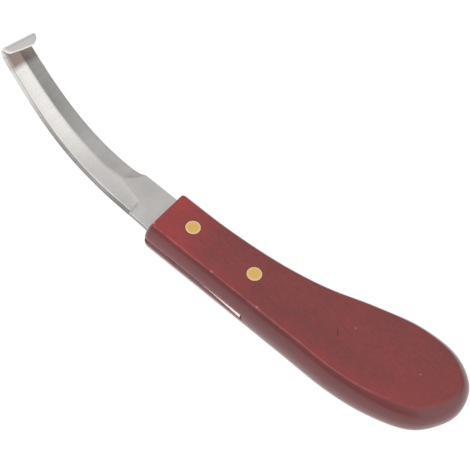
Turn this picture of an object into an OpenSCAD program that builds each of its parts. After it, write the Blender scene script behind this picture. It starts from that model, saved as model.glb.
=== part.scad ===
// Hook knife: a curved, hollow-ground blade whose tip is curled into a hook.
// The blade and its tang are one forging. The tang fills the saw kerf of a
// one-piece wooden handle, and two cutlery rivets hold it there.
//
// The origin is on the flat back face of the handle, midway between the rivets.
// +X runs towards the tip, +Z is up from the back face, and the blade bends
// towards +Z. Lengths are in millimetres and angles in degrees.

/* [Handle] */
// Thickness of the handle between its two flat faces
handle_t = 17; // [15:0.5:19]
// How far the handle reaches ahead of the origin
handle_front = 29.1; // [27:0.1:31]
// How far the rounded sides bulge beyond the flat faces, at the front of the handle
side_bulge = 3.1; // [2:0.1:4]
// How far the front end bulges
front_bulge = 1.7; // [1:0.1:2.4]
// How much the flat faces fall away at the butt
butt_crown = 0.6; // [0:0.2:2]
// Height of the saw kerf
kerf_h = 2.3; // [2.3:0.1:3]
// How far the kerf reaches behind the origin
kerf_back = 20.7; // [20.5:0.1:24]

/* [Blade] */
// Thickness of the steel
steel_t = 2.2; // [1.8:0.1:2.2]
// Length of the curved blade, measured along its bend
bend_len = 70; // [60:1:76]
// Angle that the blade has turned through at the end of its bend
bend_angle = 47; // [35:1:55]
// Depth of the hollow in the wide ground facet
hollow_depth = 0.25; // [0:0.05:0.4]

/* [Hook] */
// Extra bend that leads into the curl
lead_angle = 14; // [0:0.5:20]
// Radius of the curl at the middle of the steel
hook_r = 2.1; // [2:0.1:3]
// Angle that the tip is curled through
hook_turn = 122; // [90:2:150]
// Angle between the curl's axis and square across the blade
hook_skew = 13.5; // [0:0.5:14]
// Length of the curled tab, measured along the curl
tab_len = 7.3; // [6:0.1:9]

/* [Rivets] */
// Distance between the two rivets
rivet_pitch = 30; // [24:1:34]
// Diameter of a rivet's head
head_d = 6; // [5:0.5:7]
// Thickness of a rivet's head
head_t = 1.6; // [1.2:0.1:2]
// Diameter of the solid shank
pin_d = 3; // [2:0.5:3]

/* [Hidden] */
$fn = 48;

wood = [0.53, 0.29, 0.28];
steel = [0.74, 0.73, 0.71];
brass = [0.85, 0.69, 0.43];

mid_z = handle_t / 2;
clearance = 0.05;
tube_d = pin_d + 1.4;
front_x = rivet_pitch / 2;
rear_x = -rivet_pitch / 2;

// Handle outline at its middle height. The left side runs from the front to the
// butt, and the right side runs back again.
left_side = [[5, 13.1], [-18, 13.7], [-40, 14.3], [-62, 14.8], [-80, 12.5], [-95.3, 6.8], [-103.4, -3.7]];
butt_end = [-104.8, -13];
right_side = [[-100.7, -21.5], [-90, -27.2], [-74, -27.3], [-55.5, -22.5], [-37.5, -16.6], [-17.9, -13],
    [5, -11.4]];
front_left_y = 12.6;
front_right_y = -11.6;
left_flat_corner_r = 0.6;
right_flat_corner_r = 0.8;
// The outer corners stay wider than the flat ones, so the front end never folds over
left_corner_r = front_bulge + left_flat_corner_r + 0.1;
right_corner_r = front_bulge + right_flat_corner_r + 0.1;
corner_steps = 4;
spline_steps = 6;
side_levels = [-1, -0.8, -0.55, -0.28, 0, 0.28, 0.55, 0.8, 1];
// How much more the sides bulge towards the butt (x, extra)
extra_bulge = [[-95, 1.2], [-70, 0.4], [-40, 0.2], [27, 0]];
crown_start = -75;
crown_span = 30;

// Blade: where its bend starts, and its edges along the bend (s, y)
bend_x = 46;
ridge_y = -1.5;
left_edge = [[-66, 13.55], [-46, 12.4], [-15, 8.3], [-7.5, 7.7], [-5, 7.65], [0, 7.3], [14, 6.5], [70, 5]];
right_edge = [[-66, -9.2], [-15, -9.2], [0.3, -9.6], [3, -9.1], [35, -8.6], [70, -8.3]];
ridge_line = [[-8, 1.6], [-6, 0.9], [6, -2.3], [14, -1.5], [70, -1.5]];
bevel_w = [[-6, 1.55], [12, 1.4], [40, 1.15]];
bevel_drop = 0.75;
edge_drop = 1.8;
edge_land = 0.2;
// How much deeper the hollow is where the grinding wheel started (s, extra)
extra_hollow = [[-8, 0.35], [-1, 0.25], [12, 0], [70, 0]];
left_plunge = [-7.2, -4.9];
bevel_start = [-5.9, -5.1];
right_plunge = [0.5, 6];
lead_start = bend_len - 6;
lean_start = bend_len - 10;
fold_s = bend_len + 3.6;
path_end = bend_len + 10;
fold_lead = 2;
tab_flare = 2.4;
tab_left_y = 4.9;
tab_right_y = -8.3;
left_round = 3;
left_round_in = 3;
right_round = 5;
right_round_in = 5;
tab_t = 1;
tab_thinning = 4;
tab_slant = 0.02;

// A ramp that rises smoothly from 0 to 1 as v goes from a to b
function ramp(v, a, b) = let (t = max(0, min(1, (v - a) / (b - a)))) t * t * (3 - 2 * t);
function mix(a, b, t) = a + (b - a) * t;

// Catmull-Rom curve through a list of points
function curve_at(a, b, c, d, t) =
    0.5 * (2 * b + (c - a) * t + (2 * a - 5 * b + 4 * c - d) * t * t + (3 * b - a - 3 * c + d) * t * t * t);
function curve(points, steps) =
    let (last = len(points) - 1)
    [for (i = [0:last - 1], j = [0:steps - 1])
        curve_at(points[max(i - 1, 0)], points[i], points[i + 1], points[min(i + 2, last)], j / steps),
     points[last]];
// A front corner of radius r: its sides are at x and y, and side is 1 on the left
function corner(x, y, side, r) =
    [for (i = [0:corner_steps]) let (a = 90 * i / (corner_steps + 1))
        [x - r + r * cos(a), y + side * (r * sin(a) - r)]];
function backwards(list) = [for (i = [len(list) - 1:-1:0]) list[i]];

handle_outline = concat(corner(handle_front, front_left_y, 1, left_corner_r),
    curve(concat([[handle_front - left_corner_r, front_left_y]], left_side, [butt_end], right_side,
        [[handle_front - right_corner_r, front_right_y]]), spline_steps),
    backwards(corner(handle_front, front_right_y, -1, right_corner_r)));

// Outward normal of the outline
function side_normal(i) =
    let (last = len(handle_outline) - 1, d = handle_outline[min(i + 1, last)] - handle_outline[max(i - 1, 0)])
    [d[1], -d[0]] / norm(d);
function crown(x) = butt_crown * pow(max(0, (crown_start - x) / crown_span), 2);
// The step from each point of the outline to the edge of the flat face
flat_x = handle_front - front_bulge;
flat_corners = concat(corner(flat_x, front_left_y - side_bulge, 1, left_flat_corner_r),
    backwards(corner(flat_x, front_right_y + side_bulge, -1, right_flat_corner_r)));
function flat_step(i) =
    let (p = handle_outline[i], last = len(handle_outline) - 1)
    i <= corner_steps ? flat_corners[i] - p
    : i >= last - corner_steps ? flat_corners[len(flat_corners) - 1 - (last - i)] - p
    : -side_normal(i) * (side_bulge + lookup(p[0], extra_bulge));
flat_steps = [for (i = [0:len(handle_outline) - 1]) flat_step(i)];
// The sides are arcs from face to face: how much of the step an arc that stands
// out this far has taken at a height
function part(out, half, z) =
    let (r = (half * half + out * out) / (2 * out)) (r - sqrt(r * r - z * z)) / out;
function handle_ring(level) =
    [for (i = [0:len(handle_outline) - 1])
        let (p = handle_outline[i], half = mid_z - crown(p[0]), z = level * half,
             q = p + flat_steps[i] * part(norm(flat_steps[i]), half, z))
        [q[0], q[1], mid_z + z]];

// Closed solid through a stack of rings with the same number of points. Each
// end is closed by strips between the two halves of its ring. Every face is
// turned round at the end, because a face's points go clockwise seen from outside.
module stack(rings) {
    n = len(rings[0]);
    top = (len(rings) - 1) * n;
    half = floor((n - 1) / 2);
    sides = [for (k = [0:len(rings) - 2], i = [0:n - 1])
        let (a = k * n + i, b = k * n + (i + 1) % n) each [[a, b, b + n], [a, b + n, a + n]]];
    function end_strip(base) = [for (i = [0:half - 1]) let (a = i, b = i + 1, c = n - 2 - i, d = n - 1 - i)
        each concat([[base + a, base + b, base + d]], b < c ? [[base + b, base + c, base + d]] : [])];
    upper = end_strip(top);
    lower = [for (f = end_strip(0)) [f[2], f[1], f[0]]];
    faces = [for (f = concat(sides, upper, lower)) [f[2], f[1], f[0]]];
    polyhedron(points = [for (r = rings) each r], faces = faces, convexity = 8);
}

module rivet_holes(bore_d, sink_d) {
    for (x = [front_x, rear_x]) {
        translate([x, 0, -1]) cylinder(d = bore_d, h = handle_t + 2);
        if (sink_d > 0) {
            translate([x, 0, -1]) cylinder(d = sink_d, h = head_t + 1);
            translate([x, 0, handle_t - head_t]) cylinder(d = sink_d, h = head_t + 1);
        }
    }
}

module kerf() {
    translate([-kerf_back, -50, mid_z - kerf_h / 2]) cube([kerf_back + handle_front + 10, 100, kerf_h]);
}

module handle() {
    color(wood) difference() {
        stack([for (level = side_levels) handle_ring(level)]);
        kerf();
        rivet_holes(tube_d + 2 * clearance, head_d + 2 * clearance);
    }
}

// The blade's middle line: straight to the start of the bend, then bent over
// bend_len, with a little more bend that leads into the curl
function bend_at(s) = bend_angle * pow(sin(90 * min(1, max(0, s) / bend_len)), 1.15)
    + lead_angle * pow(min(1, max(0, (s - lead_start) / (fold_s - lead_start))), 2);
bend_path = [for (s = 0, p = [bend_x, mid_z]; s <= path_end;
    s = s + 1, p = p + [cos(bend_at(s - 0.5)), sin(bend_at(s - 0.5))]) p];
function middle(s) =
    s <= 0 ? bend_path[0] + [s, 0]
    : let (i = min(floor(s), len(bend_path) - 2)) mix(bend_path[i], bend_path[i + 1], s - i);
function bent(s, y, n) =
    let (m = middle(s), a = bend_at(s)) [m[0] - n * sin(a), y, m[1] + n * cos(a)];

// The hook: f runs along the steel from the skewed fold line, where the steel
// starts to roll up and back
function curled(f, y, n) = let (fold_y = fold_s + (y - ridge_y) * tan(hook_skew))
    f <= 0 ? bent(fold_y + f, y, n) : rolled(fold_y, f * (1 - tab_slant * (y - ridge_y)), y, n);
function rolled(fold_y, f, y, n) =
    let (a0 = bend_at(fold_y),
         ahead = [cos(a0), 0, sin(a0)], above = [-sin(a0), 0, cos(a0)], sideways = [0, 1, 0],
         axis = cos(hook_skew) * sideways + sin(hook_skew) * ahead,
         onward = cos(hook_skew) * ahead - sin(hook_skew) * sideways,
         u = f * cos(hook_skew), a = min(hook_turn, u / hook_r * 180 / PI), rest = u - hook_r * a * PI / 180)
    bent(fold_y, y, 0) + f * sin(hook_skew) * axis
        + ((hook_r - n) * sin(a) + rest * cos(a)) * onward
        + (hook_r - (hook_r - n) * cos(a) + rest * sin(a)) * above;

// A cross-section runs along its upper side from left to right and returns
// along its lower side, with a lower point under each upper one
function section(ys, upper, lower) =
    concat([for (i = [0:len(ys) - 1]) [ys[i], upper[i]]], [for (i = [len(ys) - 1:-1:0]) [ys[i], lower[i]]]);
function across(yl, yr, edge, ridge_l, ridge_r) =
    concat([yl], [for (t = [0:0.25:1]) mix(yl - edge, ridge_l, t)], [ridge_r, mix(ridge_r, yr, 0.5), yr]);

// Ground blade: a steep bevel on the left edge, a wide hollow facet up to the
// ridge and a plain facet down to the right edge, over a flat underside
function blade_section(s, yl, yr) =
    let (l = ramp(s, left_plunge[0], left_plunge[1]),
         bevel = max(0.02, ramp(s, bevel_start[0], bevel_start[1])),
         r = min(1, max(0, (s - right_plunge[0]) / (right_plunge[1] - right_plunge[0]))),
         h = steel_t / 2, ridge_l = lookup(s, ridge_line), ridge_r = mix(yr + 0.4, ridge_l - 0.2, r),
         sink = (hollow_depth + lookup(s, extra_hollow)) * l,
         drop = edge_drop * (ridge_r - yr - 0.4) / (ridge_y - yr - 0.4))
    section(across(yl, yr, lookup(s, bevel_w) * bevel, ridge_l, ridge_r),
        concat([mix(h, edge_land - h, l)],
            [for (t = [0:0.25:1]) h - bevel_drop * l * (1 - t) - 4 * sink * t * (1 - t)],
            [h, h - drop / 2, h - drop]),
        [for (i = [1:9]) -h]);
// Tab: the same steel drawn thin, with soft edges
function tab_section(f, yl, yr) =
    let (h = mix(steel_t / 2 - 0.2, tab_t / 2, ramp(f, 0, tab_thinning)),
         heights = concat([h / 2], [for (i = [1:7]) h], [h / 2]))
    section(across(yl, yr, h / 2, ridge_y + 0.1, ridge_y - 0.1), heights, -heights);

function blend_sections(a, b, t) = [for (i = [0:len(a) - 1]) mix(a[i], b[i], t)];
// The rings lean over little by little to the slant of the fold line
function lean(s) = ramp(s, lean_start, fold_s - fold_lead) * tan(hook_skew);
function blade_ring(s) =
    [for (q = blade_section(s, lookup(s, left_edge), lookup(s, right_edge)))
        bent(s + (s > 0 ? lean(s) * (q[0] - ridge_y) : 0), q[0], q[1])];
// How far a side of the tab has turned in towards its free edge
function shrink(f, r, inwards) =
    let (t = max(0, 1 - (tab_len - f) / r)) inwards * (1 - sqrt(max(0, 1 - t * t)));
function tab_ring(f) =
    let (yl = tab_left_y - shrink(f, left_round, left_round_in),
         yr = tab_right_y - tab_flare * ramp(f, -fold_lead, 3) + shrink(f, right_round, right_round_in),
         share = ramp(f, -fold_lead, 1.5),
         section = blend_sections(blade_section(fold_s, yl, yr), tab_section(f, yl, yr), share))
    [for (q = section) curled(f, q[0], q[1])];

blade_stations = concat([-66, -46, -15], [for (s = [-9:0.75:6]) s], [for (s = [8:2.5:fold_s - 3]) s]);
tab_stations = concat([for (f = [-fold_lead:0.6:tab_len - left_round - 0.3]) f],
    [for (a = [0:18:90]) tab_len - left_round * (1 - sin(a))]);

module blade() {
    color(steel) difference() {
        stack(concat([for (s = blade_stations) blade_ring(s)], [for (f = tab_stations) tab_ring(f)]));
        rivet_holes(tube_d + 4 * clearance, 0);
    }
}

// Solid half of a cutlery rivet: its head is flush with the front face
module rivet_male(x) {
    color(brass) translate([x, 0, 0]) {
        translate([0, 0, handle_t - head_t]) cylinder(d = head_d, h = head_t);
        translate([0, 0, head_t + 1]) cylinder(d = pin_d, h = handle_t - 2 * head_t - 1);
    }
}

// Tubular half of a cutlery rivet: its head is flush with the back face
module rivet_female(x) {
    color(brass) translate([x, 0, 0]) difference() {
        union() {
            cylinder(d = head_d, h = head_t);
            cylinder(d = tube_d, h = handle_t - head_t - clearance);
        }
        translate([0, 0, head_t]) cylinder(d = pin_d + 2 * clearance, h = handle_t);
    }
}

handle();
blade();
rivet_male(front_x);  // front_rivet_male
rivet_female(front_x);  // front_rivet_female
rivet_male(rear_x);  // rear_rivet_male
rivet_female(rear_x);  // rear_rivet_female
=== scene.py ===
"""Hook knife: the visible model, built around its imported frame.

Shapes are worked out in millimetres in the frame's own axes: the origin is on the
handle's back face midway between the rivets, +X runs to the tip and +Z is up.
"""

import math

import bmesh
import bpy
import numpy as np
from mathutils import Matrix, Vector


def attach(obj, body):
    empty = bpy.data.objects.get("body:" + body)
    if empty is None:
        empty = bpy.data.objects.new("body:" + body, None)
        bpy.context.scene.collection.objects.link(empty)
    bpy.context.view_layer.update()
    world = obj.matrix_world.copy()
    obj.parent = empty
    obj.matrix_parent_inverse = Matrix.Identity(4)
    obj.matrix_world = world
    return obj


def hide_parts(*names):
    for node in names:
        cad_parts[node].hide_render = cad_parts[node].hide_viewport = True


MM = 0.001

# Handle
HANDLE_T = 17.0
MID_Z = HANDLE_T / 2
HANDLE_FRONT = 29.1
FRONT_BULGE = 1.7
SIDE_BULGE = [(-95, 4.3), (-70, 3.5), (-40, 3.3), (27, 3.1)]
BUTT_CROWN = 0.6
CROWN_START = -75.0
CROWN_SPAN = 30.0
LEFT_FLAT_CORNER_R = 0.6
RIGHT_FLAT_CORNER_R = 0.8
LEFT_CORNER_R = FRONT_BULGE + LEFT_FLAT_CORNER_R + 0.1
RIGHT_CORNER_R = FRONT_BULGE + RIGHT_FLAT_CORNER_R + 0.1
FRONT_LEFT_Y = 12.6
FRONT_RIGHT_Y = -11.6
LEFT_SIDE = [(5, 13.1), (-18, 13.7), (-40, 14.3), (-62, 14.8), (-80, 12.5), (-95.3, 6.8), (-103.4, -3.7)]
BUTT_END = [(-104.8, -13)]
RIGHT_SIDE = [(-100.7, -21.5), (-90, -27.2), (-74, -27.3), (-55.5, -22.5), (-37.5, -16.6),
              (-17.9, -13), (5, -11.4)]
SPLINE_STEPS = 26
CORNER_STEPS = 10
FACE_COLUMNS = 18
EDGE_COLUMN = 0.012
EDGE_EASE = 0.3
EASE_SHARE = 0.1
KERF_H = 2.3
KERF_BACK = -20.7
KERF_LIP = 0.15
KERF_LIP_INSET = 0.12
SIDE_LEVELS = (0.25, 0.36, 0.47, 0.57, 0.66, 0.75, 0.83, 0.9)
EASE_STEPS = (0.0, 0.2, 0.4, 0.6, 0.8, 1.0)

# Blade
STEEL_T = 2.2
BEND_X = 46.0
BEND_LEN = 70.0
BEND_ANGLE = math.radians(47)
RIDGE_Y = -1.5
LEFT_EDGE = [(-66, 13.55), (-46, 12.4), (-15, 8.3), (-7.5, 7.7), (-5, 7.65), (0, 7.3), (14, 6.5), (70, 5)]
RIGHT_EDGE = [(-66, -9.2), (-15, -9.2), (0.3, -9.6), (3, -9.1), (35, -8.6), (70, -8.3)]
LEFT_FACET_TOP = [(-8, 1.6), (-6, 0.9), (6, -2.3), (14, -1.5), (70, -1.5)]
LEFT_PLUNGE = (-7.2, -4.9)
BEVEL_START = (-5.9, -5.1)
FACET_START = 0.5
FACET_FULL = 6.0
BEVEL_W = [(-6, 1.55), (12, 1.4), (40, 1.15)]
BEVEL_DROP = 0.75
HOLLOW = [(-8, 0.6), (-1, 0.5), (12, 0.25), (70, 0.25)]
EDGE_DROP = 1.8

# Hook
HOOK_R = 2.1
HOOK_TURN = math.radians(122)
HOOK_SKEW = math.radians(13.5)
LEAD_ANGLE = math.radians(14)
LEAD_START = 64.0
LEAN_START = 60.0
FOLD_S = 73.6
FOLD_LEAD = 2.0
TAB_LEN = 7.3
TAB_SLANT = 0.02
TAB_T = 1.0
TAB_LEFT_Y = 4.9
TAB_RIGHT_Y = -8.3
TAB_FLARE = 2.4
LEFT_ROUND = 3.0
LEFT_ROUND_IN = 3.0
RIGHT_ROUND = 5.0
RIGHT_ROUND_IN = 5.0

# Rivets
RIVET_X = 15.0
HEAD_R = 3.0
HEAD_T = 1.6
TUBE_R = 2.2
PIN_R = 1.5
GAP = 0.05
AXIS_R = 0.02
TURNED_SIDES = 64


# ---------------------------------------------------------------- small helpers
def smooth(v, a, b):
    """Rises smoothly from 0 to 1 as v goes from a to b."""
    t = np.clip((np.asarray(v, float) - a) / (b - a), 0, 1)
    return t * t * (3 - 2 * t)


def mix(a, b, t):
    return a + (b - a) * t


def lookup(v, table):
    xs, ys = zip(*table)
    return float(np.interp(v, xs, ys))


def srgb(r, g, b):
    """A colour as a screen shows it, from 0 to 255, as linear light."""
    def linear(c):
        c /= 255
        return c / 12.92 if c <= 0.04045 else ((c + 0.055) / 1.055) ** 2.4
    return (linear(r), linear(g), linear(b), 1.0)


def make_mesh(name, points, faces, marks=None, uv=None):
    """An object from points in millimetres. marks are per-point numbers for its material."""
    mesh = bpy.data.meshes.new(name)
    mesh.from_pydata([tuple(p) for p in np.asarray(points) * MM], [], faces)
    for key, values in (marks or {}).items():
        layer = mesh.attributes.new(key, "FLOAT", "POINT")
        layer.data.foreach_set("value", np.asarray(values, np.float32))
    if uv is not None:
        layer = mesh.uv_layers.new(name="along")
        corner_points = np.empty(len(mesh.loops), np.int32)
        mesh.loops.foreach_get("vertex_index", corner_points)
        layer.data.foreach_set("uv", np.asarray(uv, np.float32)[corner_points].ravel())
    mesh.validate()
    obj = bpy.data.objects.new(name, mesh)
    bpy.context.scene.collection.objects.link(obj)
    return obj


def face_outwards(obj):
    """Turns every face outwards and shades the surface smooth."""
    bm = bmesh.new()
    bm.from_mesh(obj.data)
    bmesh.ops.recalc_face_normals(bm, faces=bm.faces)
    for face in bm.faces:
        face.smooth = True
    bm.to_mesh(obj.data)
    bm.free()


def turn_kerf_inwards(obj):
    """The kerf's walls are a piece of their own, so turned outwards they face the wood, not the gap."""
    kerf = obj.data.attributes["kerf"].data
    bm = bmesh.new()
    bm.from_mesh(obj.data)
    walls = [face for face in bm.faces if all(kerf[v.index].value > 0.5 for v in face.verts)]
    bmesh.ops.reverse_faces(bm, faces=walls)
    bm.to_mesh(obj.data)
    bm.free()


def sharpen(obj, degrees):
    """Keeps edges that turn by more than this angle crisp."""
    obj.data.set_sharp_from_angle(angle=math.radians(degrees))


def stands_for(obj, node, material):
    obj.data.materials.clear()
    obj.data.materials.append(material)
    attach(obj, "root")
    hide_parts(node)


# ---------------------------------------------------------------- handle
def catmull_rom(points, steps):
    points = np.asarray(points, float)
    last = len(points) - 1
    out = []
    for i in range(last):
        a, b, c, d = points[max(i - 1, 0)], points[i], points[i + 1], points[min(i + 2, last)]
        for t in np.arange(steps) / steps:
            out.append(0.5 * (2 * b + (c - a) * t + (2 * a - 5 * b + 4 * c - d) * t**2
                              + (3 * b - a - 3 * c + d) * t**3))
    return out + [points[last]]


def handle_outline():
    """The outline at its middle height: front corner, left side, butt, right side, front corner.

    It has an odd number of points, and point i and the i-th from the end face each other."""
    turns = np.arange(1, CORNER_STEPS + 1) / (CORNER_STEPS + 1) * math.pi / 2

    def corner(r, y, side):
        x, yc = HANDLE_FRONT - r, y - side * r
        return [(HANDLE_FRONT, yc)] + [(x + r * math.cos(a), yc + side * r * math.sin(a)) for a in turns]

    first = (HANDLE_FRONT - LEFT_CORNER_R, FRONT_LEFT_Y)
    last = (HANDLE_FRONT - RIGHT_CORNER_R, FRONT_RIGHT_Y)
    side = catmull_rom([first] + LEFT_SIDE + BUTT_END + RIGHT_SIDE + [last], SPLINE_STEPS)
    left, right = corner(LEFT_CORNER_R, FRONT_LEFT_Y, 1), corner(RIGHT_CORNER_R, FRONT_RIGHT_Y, -1)
    return np.array(left + [tuple(p) for p in side] + right[::-1])


def outline_normals(outline):
    ahead = np.vstack([outline[1:], outline[-1:]])
    behind = np.vstack([outline[:1], outline[:-1]])
    d = ahead - behind
    return np.column_stack([d[:, 1], -d[:, 0]]) / np.linalg.norm(d, axis=1)[:, None]


def flat_steps(outline, normals):
    """The step from each point of the outline to the edge of the flat face."""
    xs, ys = zip(*SIDE_BULGE)
    steps = -normals * np.interp(outline[:, 0], xs, ys)[:, None]
    bulge_at_front = ys[-1]
    turns = np.arange(CORNER_STEPS + 1) / (CORNER_STEPS + 1) * math.pi / 2
    last = len(outline) - 1
    for side, y, r in ((1, FRONT_LEFT_Y, LEFT_FLAT_CORNER_R), (-1, FRONT_RIGHT_Y, RIGHT_FLAT_CORNER_R)):
        x, yc = HANDLE_FRONT - FRONT_BULGE - r, y - side * (bulge_at_front + r)
        for k, a in enumerate(turns):
            i = k if side > 0 else last - k
            steps[i] = (x + r * math.cos(a), yc + side * r * math.sin(a)) - outline[i]
    return steps


def side_profile(out, half):
    """The side's cross-section: (part of the step, height) from the bottom face to the top face.

    It is an arc from face to face whose corners are eased. The kerf's two edges
    and their lips have heights of their own."""
    radius = (half**2 + out**2) / (2 * out)

    def inset(z):
        return radius - math.sqrt(radius**2 - z**2)

    heights = [KERF_H / 2, KERF_H / 2 + KERF_LIP] + [half * q for q in SIDE_LEVELS]
    upper = [(inset(z), z) for z in heights]
    start = half - EDGE_EASE
    low, corner = np.array((inset(start), start)), np.array((out, half))
    high = np.array((out * (1 + EASE_SHARE), half))
    for t in EASE_STEPS:
        upper.append(tuple((1 - t) ** 2 * low + 2 * t * (1 - t) * corner + t * t * high))
    return [(i / out, -z) for i, z in reversed(upper)] + [(i / out, z) for i, z in upper]


def build_handle():
    outline = handle_outline()
    n = len(outline)
    middle = (n - 1) // 2
    kerf_i = int(np.argmin(np.abs(outline[:middle, 0] - KERF_BACK)))
    kerf_j = n - 1 - kerf_i
    for i in (kerf_i, kerf_j):
        outline[i, 0] = KERF_BACK
    steps = flat_steps(outline, outline_normals(outline))

    def crown(x):
        return BUTT_CROWN * max(0.0, (CROWN_START - x) / CROWN_SPAN) ** 2

    profiles = [side_profile(np.hypot(*step), MID_Z - crown(p[0])) for p, step in zip(outline, steps)]
    level_count = len(profiles[0])
    low = level_count // 2 - 1
    high = low + 1
    in_kerf = np.array([i <= kerf_i or i >= kerf_j for i in range(n)])
    points, rim, kerf, side = [], [], [], []
    for k in range(level_count):
        from_face = min(k, level_count - 1 - k)
        for i in range(n):
            part, z = profiles[i][k]
            if in_kerf[i] and k in (low, high):
                part += KERF_LIP_INSET / np.hypot(*steps[i])
            x, y = outline[i] + steps[i] * part
            points.append((x, y, MID_Z + z))
            rim.append(1.0 if from_face < len(EASE_STEPS) else 0.0)
            kerf.append(0.0)
            side.append(1 - abs(z) / profiles[i][-1][1])

    def at(k, i):
        return k * n + i % n

    faces = []
    for k in range(level_count - 1):
        for i in range(n):
            j = (i + 1) % n
            if k == low and in_kerf[i] and in_kerf[j]:
                continue
            if k in (0, level_count - 2) and j == 0:
                continue
            faces.append((at(k, i), at(k, j), at(k + 1, j), at(k + 1, i)))

    # Both walls of the kerf and its back end, on points of their own
    wall = {}

    def wall_point(k, i):
        if (k, i) not in wall:
            wall[k, i] = len(points)
            points.append(points[at(k, i)])
            rim.append(0.0)
            kerf.append(1.0)
            side.append(0.0)
        return wall[k, i]

    for k in (low, high):
        for i in range(kerf_i):
            faces.append(tuple(wall_point(k, q) for q in (i, i + 1, n - 2 - i, n - 1 - i)))
    back_end = ((low, kerf_i), (low, kerf_j), (high, kerf_j), (high, kerf_i))
    faces.append(tuple(wall_point(k, i) for k, i in back_end))

    # Flat faces, in strips from the left side to the right with a narrow column at each edge
    columns = [EDGE_COLUMN] + [c / FACE_COLUMNS for c in range(1, FACE_COLUMNS)] + [1 - EDGE_COLUMN]
    for k, beside, up in ((0, 1, -1), (level_count - 1, level_count - 2, 1)):
        rows = []
        for i in range(middle):
            a, b = np.array(points[at(k, i)]), np.array(points[at(k, n - 1 - i)])
            row = [at(k, i)]
            for c in columns:
                p = mix(a, b, c)
                p[2] = MID_Z + up * (MID_Z - crown(p[0]))
                row.append(len(points))
                points.append(tuple(p))
                rim.append(0.0)
                kerf.append(0.0)
                side.append(0.0)
            rows.append(row + [at(k, n - 1 - i)])
        faces.append((at(beside, n - 1), at(beside, 0), *rows[0]))
        for first, second in zip(rows, rows[1:]):
            for c in range(len(columns) + 1):
                faces.append((first[c], first[c + 1], second[c + 1], second[c]))
        for c in range(len(columns) + 1):
            faces.append((rows[-1][c], rows[-1][c + 1], at(k, middle)))

    obj = make_mesh("handle_wood", points, faces, {"rim": rim, "kerf": kerf, "side": side})
    face_outwards(obj)
    turn_kerf_inwards(obj)
    return obj


def lathe(name, profile, x):
    """A turned solid about the vertical line at x, from (radius, height) points."""
    n = TURNED_SIDES
    points, faces = [], []
    turns = np.arange(n) / n * 2 * math.pi
    for r, z in profile:
        points += [(x + r * math.cos(a), r * math.sin(a), z) for a in turns]
    for k in range(len(profile) - 1):
        for i in range(n):
            j = (i + 1) % n
            faces.append((k * n + i, k * n + j, (k + 1) * n + j, (k + 1) * n + i))
    last = (len(profile) - 1) * n
    faces.append(tuple(range(n)))
    faces.append(tuple(range(last, last + n)))
    obj = make_mesh(name, points, faces)
    face_outwards(obj)
    sharpen(obj, 40)
    return obj


def cut(obj, cutter):
    """Takes the cutter out of the object and deletes the cutter."""
    change = obj.modifiers.new("cut", "BOOLEAN")
    change.operation = "DIFFERENCE"
    change.solver = "EXACT"
    change.object = cutter
    bpy.context.view_layer.objects.active = obj
    bpy.ops.object.modifier_apply(modifier=change.name)
    bpy.data.objects.remove(cutter)


def drill_handle(obj):
    sink, bore = HEAD_R + GAP, TUBE_R + GAP
    flare = 0.1
    for x in (RIVET_X, -RIVET_X):
        profile = [(sink + flare, -1), (sink + flare, 0), (sink, flare), (sink, HEAD_T), (bore, HEAD_T),
                   (bore, HANDLE_T - HEAD_T), (sink, HANDLE_T - HEAD_T), (sink, HANDLE_T - flare),
                   (sink + flare, HANDLE_T), (sink + flare, HANDLE_T + 1)]
        cut(obj, lathe("drill", profile, x))


# ---------------------------------------------------------------- blade
def bend_at(s):
    """Angle that the blade has turned through at s: its long bend, then the lead into the hook."""
    bend = BEND_ANGLE * math.sin(math.pi / 2 * min(1.0, max(0.0, s) / BEND_LEN)) ** 1.15
    return bend + LEAD_ANGLE * min(1.0, max(0.0, (s - LEAD_START) / (FOLD_S - LEAD_START))) ** 2


def lean(s):
    """The rings lean over little by little to the slant of the fold line."""
    return float(smooth(s, LEAN_START, FOLD_S - FOLD_LEAD)) * math.tan(HOOK_SKEW)


PATH_STEP = 0.1
PATH_END = 80.0
PATH_S = np.arange(0, PATH_END + PATH_STEP / 2, PATH_STEP)
PATH_A = np.array([bend_at(s) for s in PATH_S])
PATH_X = BEND_X + np.concatenate([[0], np.cumsum(np.cos((PATH_A[1:] + PATH_A[:-1]) / 2) * PATH_STEP)])
PATH_Z = MID_Z + np.concatenate([[0], np.cumsum(np.sin((PATH_A[1:] + PATH_A[:-1]) / 2) * PATH_STEP)])


def bent(s, y, n):
    """A point of the blade: s along its bend, y across, n out from its middle surface."""
    a = bend_at(s)
    x = np.interp(s, PATH_S, PATH_X) + min(s, 0.0)
    z = np.interp(s, PATH_S, PATH_Z)
    return np.array([x - n * math.sin(a), y, z + n * math.cos(a)])


SIDEWAYS = np.array([0.0, 1.0, 0.0])


def curled(f, y, n):
    """A point of the hook: f along the steel from the skewed fold line."""
    fold_s = FOLD_S + (y - RIDGE_Y) * math.tan(HOOK_SKEW)
    if f <= 0:
        return bent(fold_s + f, y, n)
    f *= 1 - TAB_SLANT * (y - RIDGE_Y)
    a0 = bend_at(fold_s)
    ahead, above = np.array([math.cos(a0), 0, math.sin(a0)]), np.array([-math.sin(a0), 0, math.cos(a0)])
    across = math.cos(HOOK_SKEW) * SIDEWAYS + math.sin(HOOK_SKEW) * ahead
    onward = math.cos(HOOK_SKEW) * ahead - math.sin(HOOK_SKEW) * SIDEWAYS
    u, w = f * math.cos(HOOK_SKEW), f * math.sin(HOOK_SKEW)
    a = min(HOOK_TURN, u / HOOK_R)
    rest = u - HOOK_R * a
    return (bent(fold_s, y, 0) + w * across
            + ((HOOK_R - n) * math.sin(a) + rest * math.cos(a)) * onward
            + (HOOK_R - (HOOK_R - n) * math.cos(a) + rest * math.sin(a)) * above)


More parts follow.
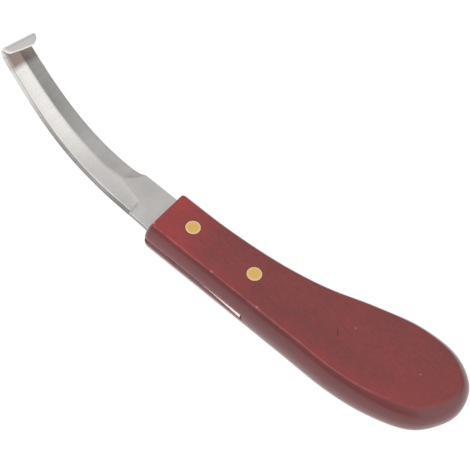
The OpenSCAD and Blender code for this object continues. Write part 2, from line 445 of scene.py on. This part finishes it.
# Each side of the blade's six-cornered cross-section: how many parts it is cut
# into, and how far its middle is hollowed
SIDE_PARTS = (4, 16, 2, 9, 3, 14)
BEVEL, HOLLOW_FACET, PLAIN_FACET, RIGHT_SIDE_WALL = 0, 1, 3, 4


def section_points(corners, radii, hollows):
    """The rounded outline of a cross-section, with the side that each point is on."""
    corners = np.asarray(corners, float)
    count = len(corners)
    out, side = [], []
    for i in range(count):
        here, after, before = corners[i], corners[(i + 1) % count], corners[i - 1]
        length, back = np.linalg.norm(after - here), np.linalg.norm(before - here)
        r = min(radii[i], 0.45 * length, 0.45 * back)
        start = here + (before - here) / max(back, 1e-9) * r
        end = here + (after - here) / max(length, 1e-9) * r
        for t in (0.0, 0.25, 0.5, 0.75, 1.0):
            out.append((1 - t) ** 2 * start + 2 * t * (1 - t) * here + t * t * end)
            side.append(i)
        r_next = min(radii[(i + 1) % count], 0.45 * length)
        normal = np.array([(after - here)[1], -(after - here)[0]]) / max(length, 1e-9)
        t0, t1 = r / max(length, 1e-9), 1 - r_next / max(length, 1e-9)
        for t in mix(t0, t1, np.arange(1, SIDE_PARTS[i]) / SIDE_PARTS[i]):
            sink = 4 * hollows[i] * (t - t0) * (t1 - t)
            out.append(mix(here, after, t) - normal * sink)
            side.append(i)
    return np.array(out), np.array(side)


def blade_corners(s, yl, yr):
    """Corners from the left edge over the top: bottom left, bevel, two ridge, right, bottom right."""
    h = STEEL_T / 2
    ground = float(smooth(s, *LEFT_PLUNGE))
    bevel = float(smooth(s, *BEVEL_START))
    left_top = lookup(s, LEFT_FACET_TOP)
    reach = min(1.0, max(0.0, (s - FACET_START) / (FACET_FULL - FACET_START)))
    right_top = mix(yr + 0.4, left_top - 0.2, reach)
    drop = EDGE_DROP * (right_top - yr - 0.4) / (RIDGE_Y - yr - 0.4)
    corners = [(yl, -h), (yl - lookup(s, BEVEL_W) * max(bevel, 0.02), h - BEVEL_DROP * ground),
               (left_top, h), (right_top, h), (yr, h - drop), (yr, -h)]
    radii = [0.12, mix(0.25, 0.1, bevel), 0.4, 0.4, 0.25, 0.25]
    hollows = [0, lookup(s, HOLLOW) * ground, 0, 0.06 * reach, 0, 0]
    return corners, radii, hollows


def tab_corners(f, yl, yr):
    h = mix(STEEL_T / 2 - 0.2, TAB_T / 2, float(smooth(f, 0, 4)))
    tip = max(0.0, (f - (TAB_LEN - 0.45)) / 0.45)
    h *= math.sqrt(max(0.01, 1 - tip * tip))
    corners = [(yl, -h), (yl, h), (RIDGE_Y + 0.1, h), (RIDGE_Y - 0.1, h), (yr, h), (yr, -h)]
    return corners, [0.9 * h, 0.9 * h, 0.1, 0.1, 0.9 * h, 0.9 * h], [0] * 6


def ring_on_blade(s):
    yl, yr = lookup(s, LEFT_EDGE), lookup(s, RIGHT_EDGE)
    flat, side = section_points(*blade_corners(s, yl, yr))
    return [bent(s + lean(s) * (y - RIDGE_Y), y, n) for y, n in flat], [(s, y) for y, n in flat], side


def ring_on_tab(f):
    def shrink(r, inwards):
        t = max(0.0, 1 - (TAB_LEN - f) / r)
        return inwards * (1 - math.sqrt(max(0.0, 1 - t * t)))

    yl = TAB_LEFT_Y - shrink(LEFT_ROUND, LEFT_ROUND_IN)
    yr = TAB_RIGHT_Y - TAB_FLARE * float(smooth(f, -FOLD_LEAD, 3)) + shrink(RIGHT_ROUND, RIGHT_ROUND_IN)
    share = float(smooth(f, -FOLD_LEAD, 1.5))
    ground, plain = blade_corners(FOLD_S, yl, yr), tab_corners(f, yl, yr)
    blended = [mix(np.array(a, float), np.array(b, float), share) for a, b in zip(ground, plain)]
    flat, side = section_points(*blended)
    return [curled(f, y, n) for y, n in flat], [(FOLD_S + f, y) for y, n in flat], side


def build_blade():
    stations = np.concatenate([np.arange(-66, -16, 5), np.arange(-16, -8, 1), np.arange(-8, 6, 0.25),
                               np.arange(6, FOLD_S - FOLD_LEAD - 0.3, 0.75)])
    tab = np.concatenate([np.arange(-FOLD_LEAD, TAB_LEN - LEFT_ROUND - 0.1, 0.25),
                          TAB_LEN - LEFT_ROUND * (1 - np.sin(np.radians(np.arange(0, 90.1, 6))))])
    rings = [ring_on_blade(s) for s in stations] + [ring_on_tab(f) for f in tab]
    count = len(rings[0][0])
    points = [p for ring, _, _ in rings for p in ring]
    uv = [q for _, ring, _ in rings for q in ring]
    bevel = [float(q == BEVEL) for _, _, ring in rings for q in ring]
    ground = [float(q == HOLLOW_FACET and LEFT_PLUNGE[1] < u < FOLD_S)
              for _, flat, ring in rings for (u, _), q in zip(flat, ring)]
    plain = [float(q == PLAIN_FACET) for _, _, ring in rings for q in ring]
    along = [q[0] for q in uv]
    lip = [float(u > FOLD_S + TAB_LEN - 0.15 or u > FOLD_S + 2 and q in (BEVEL, RIGHT_SIDE_WALL))
           for _, flat, ring in rings for (u, _), q in zip(flat, ring)]
    faces = []
    for k in range(len(rings) - 1):
        for i in range(count):
            j = (i + 1) % count
            faces.append((k * count + i, k * count + j, (k + 1) * count + j, (k + 1) * count + i))
    last = (len(rings) - 1) * count
    faces.append(tuple(range(count)))
    faces.append(tuple(range(last, last + count)))
    marks = {"bevel": bevel, "along": along, "ground": ground, "plain": plain, "lip": lip}
    obj = make_mesh("blade_steel", points, faces, marks, uv)
    face_outwards(obj)
    sharpen(obj, 50)
    for x in (RIVET_X, -RIVET_X):
        bore = TUBE_R + 2 * GAP
        cut(obj, lathe("drill", [(bore, MID_Z - 3), (bore, MID_Z + 3)], x))
    return obj


# ---------------------------------------------------------------- rivets
def head_profile(outer, inner):
    """The eased edge of a rivet head, from its face to its underside."""
    ease = 0.14
    out = [(AXIS_R, outer), (HEAD_R * 0.7, outer), (HEAD_R - ease, outer)]
    step = math.copysign(1, inner - outer)
    out += [(HEAD_R - ease * (1 - math.sin(a)), outer + step * ease * (1 - math.cos(a)))
            for a in np.radians([30, 60, 90])]
    return out + [(HEAD_R, inner)]


def build_rivets(material):
    top = HANDLE_T
    for name, x in (("front", RIVET_X), ("rear", -RIVET_X)):
        male = head_profile(top, top - HEAD_T)
        male += [(PIN_R, top - HEAD_T), (PIN_R, HEAD_T + 1), (AXIS_R, HEAD_T + 1)]
        stands_for(lathe(name + "_rivet_shank", male, x), name + "_rivet_male", material)
        female = head_profile(0, HEAD_T)
        female += [(TUBE_R, HEAD_T), (TUBE_R, top - HEAD_T - GAP), (PIN_R + GAP, top - HEAD_T - GAP),
                   (PIN_R + GAP, HEAD_T), (AXIS_R, HEAD_T)]
        stands_for(lathe(name + "_rivet_tube", female, x), name + "_rivet_female", material)


# ---------------------------------------------------------------- materials
class Nodes:
    """Short names for making and joining a material's nodes."""

    def __init__(self, name):
        self.material = bpy.data.materials.new(name)
        self.material.use_nodes = True
        self.tree = self.material.node_tree
        self.shader = self.tree.nodes["Principled BSDF"]

    def link(self, value, socket):
        if isinstance(value, bpy.types.NodeSocket):
            self.tree.links.new(value, socket)
        else:
            socket.default_value = value

    def add(self, kind, inputs=None, output=0, **settings):
        node = self.tree.nodes.new(kind)
        for key, value in settings.items():
            setattr(node, key, value)
        for key, value in (inputs or {}).items():
            self.link(value, node.inputs[key])
        return node.outputs[output]

    def set(self, **values):
        for key, value in values.items():
            self.link(value, self.shader.inputs[key.replace("_", " ")])

    def place(self, scale):
        coords = self.add("ShaderNodeTexCoord", output="Object")
        return self.add("ShaderNodeMapping", {"Vector": coords, "Scale": scale})

    def split(self, vector):
        node = self.tree.nodes.new("ShaderNodeSeparateXYZ")
        self.link(vector, node.inputs[0])
        return node.outputs

    def noise(self, vector, detail=4.0, rough=0.55):
        return self.add("ShaderNodeTexNoise", {"Vector": vector, "Scale": 1.0, "Detail": detail,
                                               "Roughness": rough, "Distortion": 0.0})

    def ramp(self, value, stops):
        node = self.tree.nodes.new("ShaderNodeValToRGB")
        while len(node.color_ramp.elements) < len(stops):
            node.color_ramp.elements.new(0.5)
        for element, (place, colour) in zip(node.color_ramp.elements, stops):
            element.position = place
            element.color = colour
        self.link(value, node.inputs["Fac"])
        return node.outputs["Color"]

    def remap(self, value, low, high, to_low=0.0, to_high=1.0):
        return self.add("ShaderNodeMapRange", {"Value": value, "From Min": low, "From Max": high,
                                               "To Min": to_low, "To Max": to_high})

    def math(self, operation, a, b=0.0, clamp=False):
        node = self.tree.nodes.new("ShaderNodeMath")
        node.operation = operation
        node.use_clamp = clamp
        self.link(a, node.inputs[0])
        self.link(b, node.inputs[1])
        return node.outputs[0]

    def blend(self, share, a, b):
        node = self.tree.nodes.new("ShaderNodeMix")
        node.data_type = "RGBA"
        self.link(share, node.inputs["Factor"])
        colour_a, colour_b = [socket for socket in node.inputs if socket.type == "RGBA"]
        self.link(a, colour_a)
        self.link(b, colour_b)
        return next(socket for socket in node.outputs if socket.type == "RGBA")

    def object_xyz(self):
        return self.split(self.add("ShaderNodeTexCoord", output="Object"))

    def spot(self, x_mm, y_mm, long_mm, wide_mm, slant=0.0):
        """1 in a small slanting oval mark on the upper side, fading out at its edge."""
        x, y, z = self.object_xyz()
        dx, dy = self.math("SUBTRACT", x, x_mm * MM), self.math("SUBTRACT", y, y_mm * MM)
        c, s = math.cos(math.radians(slant)), math.sin(math.radians(slant))
        long_part = self.math("ADD", self.math("MULTIPLY", dx, c), self.math("MULTIPLY", dy, s))
        wide_part = self.math("SUBTRACT", self.math("MULTIPLY", dy, c), self.math("MULTIPLY", dx, s))
        reach = self.distance(self.math("DIVIDE", long_part, long_mm * MM),
                              self.math("DIVIDE", wide_part, wide_mm * MM))
        upper = self.remap(z, MID_Z * MM, (MID_Z + 1) * MM)
        return self.math("MULTIPLY", self.remap(reach, 0.5, 1.0, 1.0, 0.0), upper)

    def distance(self, u, v):
        return self.math("SQRT", self.math("ADD", self.math("MULTIPLY", u, u), self.math("MULTIPLY", v, v)))

    def from_rivet(self):
        """Distance from the nearer rivet's middle."""
        x, y, _ = self.object_xyz()
        return self.distance(self.math("SUBTRACT", self.math("ABSOLUTE", x), RIVET_X * MM), y)

    def mark(self, name):
        return self.add("ShaderNodeAttribute", output="Fac", attribute_name=name)

    def bump(self, height, strength, distance):
        return self.add("ShaderNodeBump", {"Height": height, "Strength": strength, "Distance": distance})


def wood_material():
    m = Nodes("red_stained_wood")
    x, y, _ = m.object_xyz()
    cloud = m.noise(m.place((30, 50, 50)), detail=3, rough=0.5)
    mottle = m.noise(m.place((420, 900, 900)), detail=5, rough=0.65)
    fibres = m.noise(m.place((220, 2200, 2200)), detail=3, rough=0.6)
    pores = m.remap(m.noise(m.place((500, 2800, 2800)), detail=1, rough=0.4), 0.66, 0.74)

    tone = m.math("ADD", m.math("MULTIPLY", mottle, 0.5), m.math("MULTIPLY", cloud, 0.5))
    colour = m.ramp(tone, [(0.34, srgb(112, 42, 42)), (0.50, srgb(128, 44, 44)), (0.66, srgb(144, 46, 47))])
    redder = m.math("ADD", m.remap(x, 0.004, 0.024), m.remap(y, 0.003, 0.010, 0.0, 0.45))
    redder = m.math("MULTIPLY", redder, m.remap(cloud, 0.38, 0.6, 0.4, 1.0), clamp=True)
    colour = m.blend(redder, colour, srgb(162, 44, 46))
    colour = m.blend(m.remap(fibres, 0.4, 0.7, 0.0, 0.3), colour, srgb(92, 40, 38))
    colour = m.blend(m.math("MULTIPLY", pores, 0.35), colour, srgb(52, 20, 20))
    colour = m.blend(m.remap(m.from_rivet(), 0.0031, 0.0039, 0.55, 0.0), colour, srgb(96, 56, 20))

    # Painted shade: the handle's sides darker and greyer than its flat faces.
    colour = m.blend(m.remap(m.mark("side"), 0.01, 0.07, 0.0, 0.7), colour, srgb(96, 50, 53))
    # Edge wear and a painted highlight: a lighter pink line along the eased edges of the flat faces, only on
    # the +Y side and fading out towards the butt.
    wear_and_highlight = m.math("MULTIPLY", m.mark("rim"), m.remap(m.noise(m.place((210, 210, 210)), detail=5), 0.42, 0.66))
    wear_and_highlight = m.math("MULTIPLY", wear_and_highlight, m.remap(y, 0.0, 0.008, 0.0, 0.4))
    wear_and_highlight = m.math("MULTIPLY", wear_and_highlight, m.remap(x, -0.09, -0.05, 0.1, 1.0))
    colour = m.blend(wear_and_highlight, colour, srgb(170, 86, 88))
    for x_mm, y_mm, share in ((27.2, 8.6, 0.8), (-2.5, 10.0, 0.4), (-24.6, 10.4, 0.5)):
        colour = m.blend(m.math("MULTIPLY", m.spot(x_mm, y_mm, 0.8, 0.5), share), colour, srgb(214, 130, 126))
    for place in ((-86.4, -8.2), (-57.2, -7.3)):
        colour = m.blend(m.math("MULTIPLY", m.spot(*place, 0.7, 0.4), 0.5), colour, srgb(196, 110, 104))
    colour = m.blend(m.math("MULTIPLY", m.spot(-53.3, -1.5, 2.0, 0.4, -50), 0.7), colour, srgb(64, 22, 24))
    # Painted shade: the kerf's walls near black, like the inside of a shaded slot.
    colour = m.blend(m.mark("kerf"), colour, srgb(40, 14, 16))

    rough = m.remap(mottle, 0.3, 0.7, 0.48, 0.4)
    relief = m.math("SUBTRACT", m.math("MULTIPLY", fibres, 0.5), pores)
    m.set(Base_Color=colour, Roughness=rough, Normal=m.bump(relief, 0.3, 0.00008))
    m.set(Coat_Weight=0.7, Coat_Roughness=0.18, Coat_IOR=1.5, Specular_IOR_Level=0.3)
    return m.material


def steel_material():
    m = Nodes("ground_steel")
    along = m.add("ShaderNodeUVMap", uv_map="along")
    scratch_place = m.add("ShaderNodeMapping", {"Vector": along, "Scale": (9.0, 0.35, 1.0)})
    fine = m.noise(scratch_place, detail=6, rough=0.7)
    coarse = m.noise(m.add("ShaderNodeMapping", {"Vector": along, "Scale": (2.2, 0.12, 1.0)}), detail=3)
    cloud = m.noise(m.place((90, 90, 90)), detail=4)
    specks = m.remap(m.noise(m.place((1400, 1400, 1400)), detail=2), 0.62, 0.72)

    colour = m.ramp(cloud, [(0.3, srgb(200, 196, 194)), (0.7, srgb(216, 212, 210))])
    along_blade = m.mark("along")
    # Painted highlight: the hollow-ground facet lighter, more so towards the tip.
    ground = m.math("MULTIPLY", m.mark("ground"), m.remap(along_blade, -2.0, 34.0, 0.1, 1.0))
    colour = m.blend(ground, colour, srgb(228, 225, 221))
    colour = m.blend(m.remap(fine, 0.4, 0.75, 0.0, 0.35), colour, srgb(168, 164, 160))
    colour = m.blend(m.math("MULTIPLY", specks, 0.25), colour, srgb(120, 116, 112))
    # Painted shade: the bevel strip dark near the handle, fading out towards the tip.
    painted_bevel_shade = m.math("MULTIPLY", m.mark("bevel"), m.remap(along_blade, 0.0, 34.0, 0.6, 0.0))
    colour = m.blend(painted_bevel_shade, colour, srgb(92, 92, 88))
    _, y, _ = m.object_xyz()
    # Painted shade: the plain facet darker from its middle towards the tip.
    painted_facet_shade = m.math("MULTIPLY", m.mark("plain"), m.remap(along_blade, 15.0, 55.0, 0.0, 0.55))
    colour = m.blend(painted_facet_shade, colour, srgb(180, 181, 174))
    # Painted highlight: the bevel strip near white towards the tip.
    painted_bevel_highlight = m.math("MULTIPLY", m.mark("bevel"), m.remap(along_blade, 38.0, 56.0))
    colour = m.blend(painted_bevel_highlight, colour, srgb(252, 252, 250))
    # Painted shade: a brownish darkening of the blade under the hook's tab, weaker at the right edge and on
    # the left bevel.
    wavy = m.math("ADD", along_blade, m.math("MULTIPLY", cloud, 3.0))
    painted_tab_shade = m.math("MULTIPLY", m.remap(wavy, 66.2, 68.6), m.remap(along_blade, 74.5, 76.0, 1.0, 0.0))
    painted_tab_shade = m.math("MULTIPLY", painted_tab_shade, m.remap(y, -0.006, -0.002, 0.6, 0.9))
    painted_tab_shade = m.math("MULTIPLY", painted_tab_shade, m.remap(y, 0.0030, 0.0045, 1.0, 0.35))
    colour = m.blend(painted_tab_shade, colour, srgb(130, 112, 106))
    # Painted highlight: the tab's far end lighter.
    colour = m.blend(m.remap(along_blade, 75.5, 77.0, 0.0, 0.7), colour, srgb(236, 233, 230))
    # Painted highlight: pinkish white along the hook's rim edges, the points marked lip.
    colour = m.blend(m.math("MULTIPLY", m.mark("lip"), 0.4), colour, srgb(244, 230, 224))
    # Painted reflection: the tang, whose edge shows in the kerf, pinkish white from the middle of the handle
    # back.
    colour = m.blend(m.remap(along_blade, -40.0, -30.0, 1.0, 0.0), colour, srgb(252, 238, 236))

    rough = m.math("ADD", m.remap(coarse, 0.3, 0.7, 0.26, 0.36), m.math("MULTIPLY", fine, 0.1))
    m.set(Base_Color=colour, Metallic=1.0, Roughness=rough, Normal=m.bump(fine, 0.12, 0.00003))
    return m.material


def brass_material():
    m = Nodes("sanded_brass")
    scratches = m.noise(m.place((900, 5200, 900)), detail=5, rough=0.7)
    cloud = m.noise(m.place((500, 500, 500)), detail=3)
    # Painted highlight: the rivet heads lighter and pinker towards their rims.
    rim = m.remap(m.math("ADD", m.from_rivet(), m.math("MULTIPLY", cloud, 0.0006)), 0.0022, 0.0030)
    colour = m.blend(rim, srgb(238, 198, 116), srgb(255, 212, 168))
    colour = m.blend(m.remap(scratches, 0.45, 0.8, 0.0, 0.4), colour, srgb(200, 158, 90))
    m.set(Base_Color=colour, Metallic=1.0, Roughness=m.remap(scratches, 0.3, 0.7, 0.34, 0.46))
    m.set(Normal=m.bump(scratches, 0.15, 0.00003))
    return m.material


# ---------------------------------------------------------------- stage
def build_floor():
    """A white sweep that glows a little, so that it stays white and lights the sides from below."""
    size = 3.0
    mesh = bpy.data.meshes.new("floor")
    corners = [(-size, -size, 0), (size, -size, 0), (size, size, 0), (-size, size, 0)]
    mesh.from_pydata(corners, [], [(0, 1, 2, 3)])
    floor = bpy.data.objects.new("floor", mesh)
    floor.location.z = -0.00005
    bpy.context.scene.collection.objects.link(floor)
    m = Nodes("pale_floor")
    m.set(Base_Color=(0.1, 0.1, 0.1, 1), Roughness=0.9, Specular_IOR_Level=0.0)
    m.set(Emission_Color=(1.0, 1.0, 1.0, 1), Emission_Strength=0.95)
    mesh.materials.append(m.material)


def area_light(name, place, aim, size, power):
    light = bpy.data.lights.new(name, "AREA")
    light.shape = "DISK"
    light.size = size
    light.energy = power
    obj = bpy.data.objects.new(name, light)
    obj.location = place
    obj.rotation_euler = (Vector(aim) - Vector(place)).to_track_quat("-Z", "Y").to_euler()
    bpy.context.scene.collection.objects.link(obj)


def build_lights():
    """A pale studio: grey around, lighter overhead, with a bright wall behind the butt."""
    world = bpy.data.worlds.new("studio")
    bpy.context.scene.world = world
    world.use_nodes = True
    tree = world.node_tree
    back = tree.nodes["Background"]
    coords = tree.nodes.new("ShaderNodeTexCoord")
    parts = tree.nodes.new("ShaderNodeSeparateXYZ")
    tree.links.new(coords.outputs["Generated"], parts.inputs[0])

    def remap(value, low, high, to_low, to_high):
        node = tree.nodes.new("ShaderNodeMapRange")
        node.interpolation_type = "SMOOTHSTEP"
        tree.links.new(value, node.inputs["Value"])
        for key, number in (("From Min", low), ("From Max", high), ("To Min", to_low), ("To Max", to_high)):
            node.inputs[key].default_value = number
        return node.outputs[0]

    def join(operation, *values):
        node = tree.nodes.new("ShaderNodeMath")
        node.operation = operation
        for value, socket in zip(values, node.inputs):
            if isinstance(value, float):
                socket.default_value = value
            else:
                tree.links.new(value, socket)
        return node.outputs[0]

    x, y, z = parts.outputs
    aside = join("ABSOLUTE", y)
    wall = join("MULTIPLY", remap(x, -0.1, -0.8, 0.0, 0.42), remap(aside, 0.35, 0.85, 1.0, 0.0))
    low = join("MULTIPLY", remap(aside, 0.4, 0.9, 0.0, 1.0), remap(z, 0.0, 0.7, 1.0, 0.0))
    depth = remap(y, -0.3, 0.3, 0.72, 0.65)
    strength = join("SUBTRACT", join("ADD", 0.8, wall), join("MULTIPLY", low, depth))
    tree.links.new(strength, back.inputs["Strength"])
    back.inputs["Color"].default_value = (1.0, 1.0, 1.0, 1)
    area_light("key", (0.2, 0.9, 1.1), (0, 0, 0), 1.0, 4)
    bpy.context.scene.view_settings.view_transform = "Standard"


def build_camera():
    """Looks down the handle from its left side, 58 degrees above the floor."""
    distance = 0.6
    tilt, swing, roll = math.radians(32.0), math.radians(120.84), math.radians(10.11)
    back = Vector((math.sin(tilt) * math.cos(swing), math.sin(tilt) * math.sin(swing), math.cos(tilt)))
    level_up = (Vector((0, 0, 1)) - back.z * back).normalized()
    level_right = level_up.cross(back)
    right = math.cos(roll) * level_right + math.sin(roll) * level_up
    up = back.cross(right)
    target = Vector((0, 0, HANDLE_T * MM)) + 0.00428 * right + 0.00576 * up
    camera = bpy.data.cameras.new("camera")
    camera.sensor_width = 36
    camera.lens = 122.5
    camera.clip_start = 0.01
    obj = bpy.data.objects.new("camera", camera)
    turn = Matrix((right, up, back)).transposed()
    obj.matrix_world = Matrix.Translation(target + distance * back) @ turn.to_4x4()
    bpy.context.scene.collection.objects.link(obj)
    bpy.context.scene.camera = obj


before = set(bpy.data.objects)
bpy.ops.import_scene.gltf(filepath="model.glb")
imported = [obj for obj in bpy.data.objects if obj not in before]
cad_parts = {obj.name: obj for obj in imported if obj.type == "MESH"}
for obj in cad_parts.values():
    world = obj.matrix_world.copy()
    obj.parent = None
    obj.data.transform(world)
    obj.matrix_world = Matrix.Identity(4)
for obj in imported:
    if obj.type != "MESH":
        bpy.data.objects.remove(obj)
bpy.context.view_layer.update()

build_camera()
build_floor()
build_lights()

handle = build_handle()
drill_handle(handle)
stands_for(handle, "handle", wood_material())
stands_for(build_blade(), "blade", steel_material())
build_rivets(brass_material())
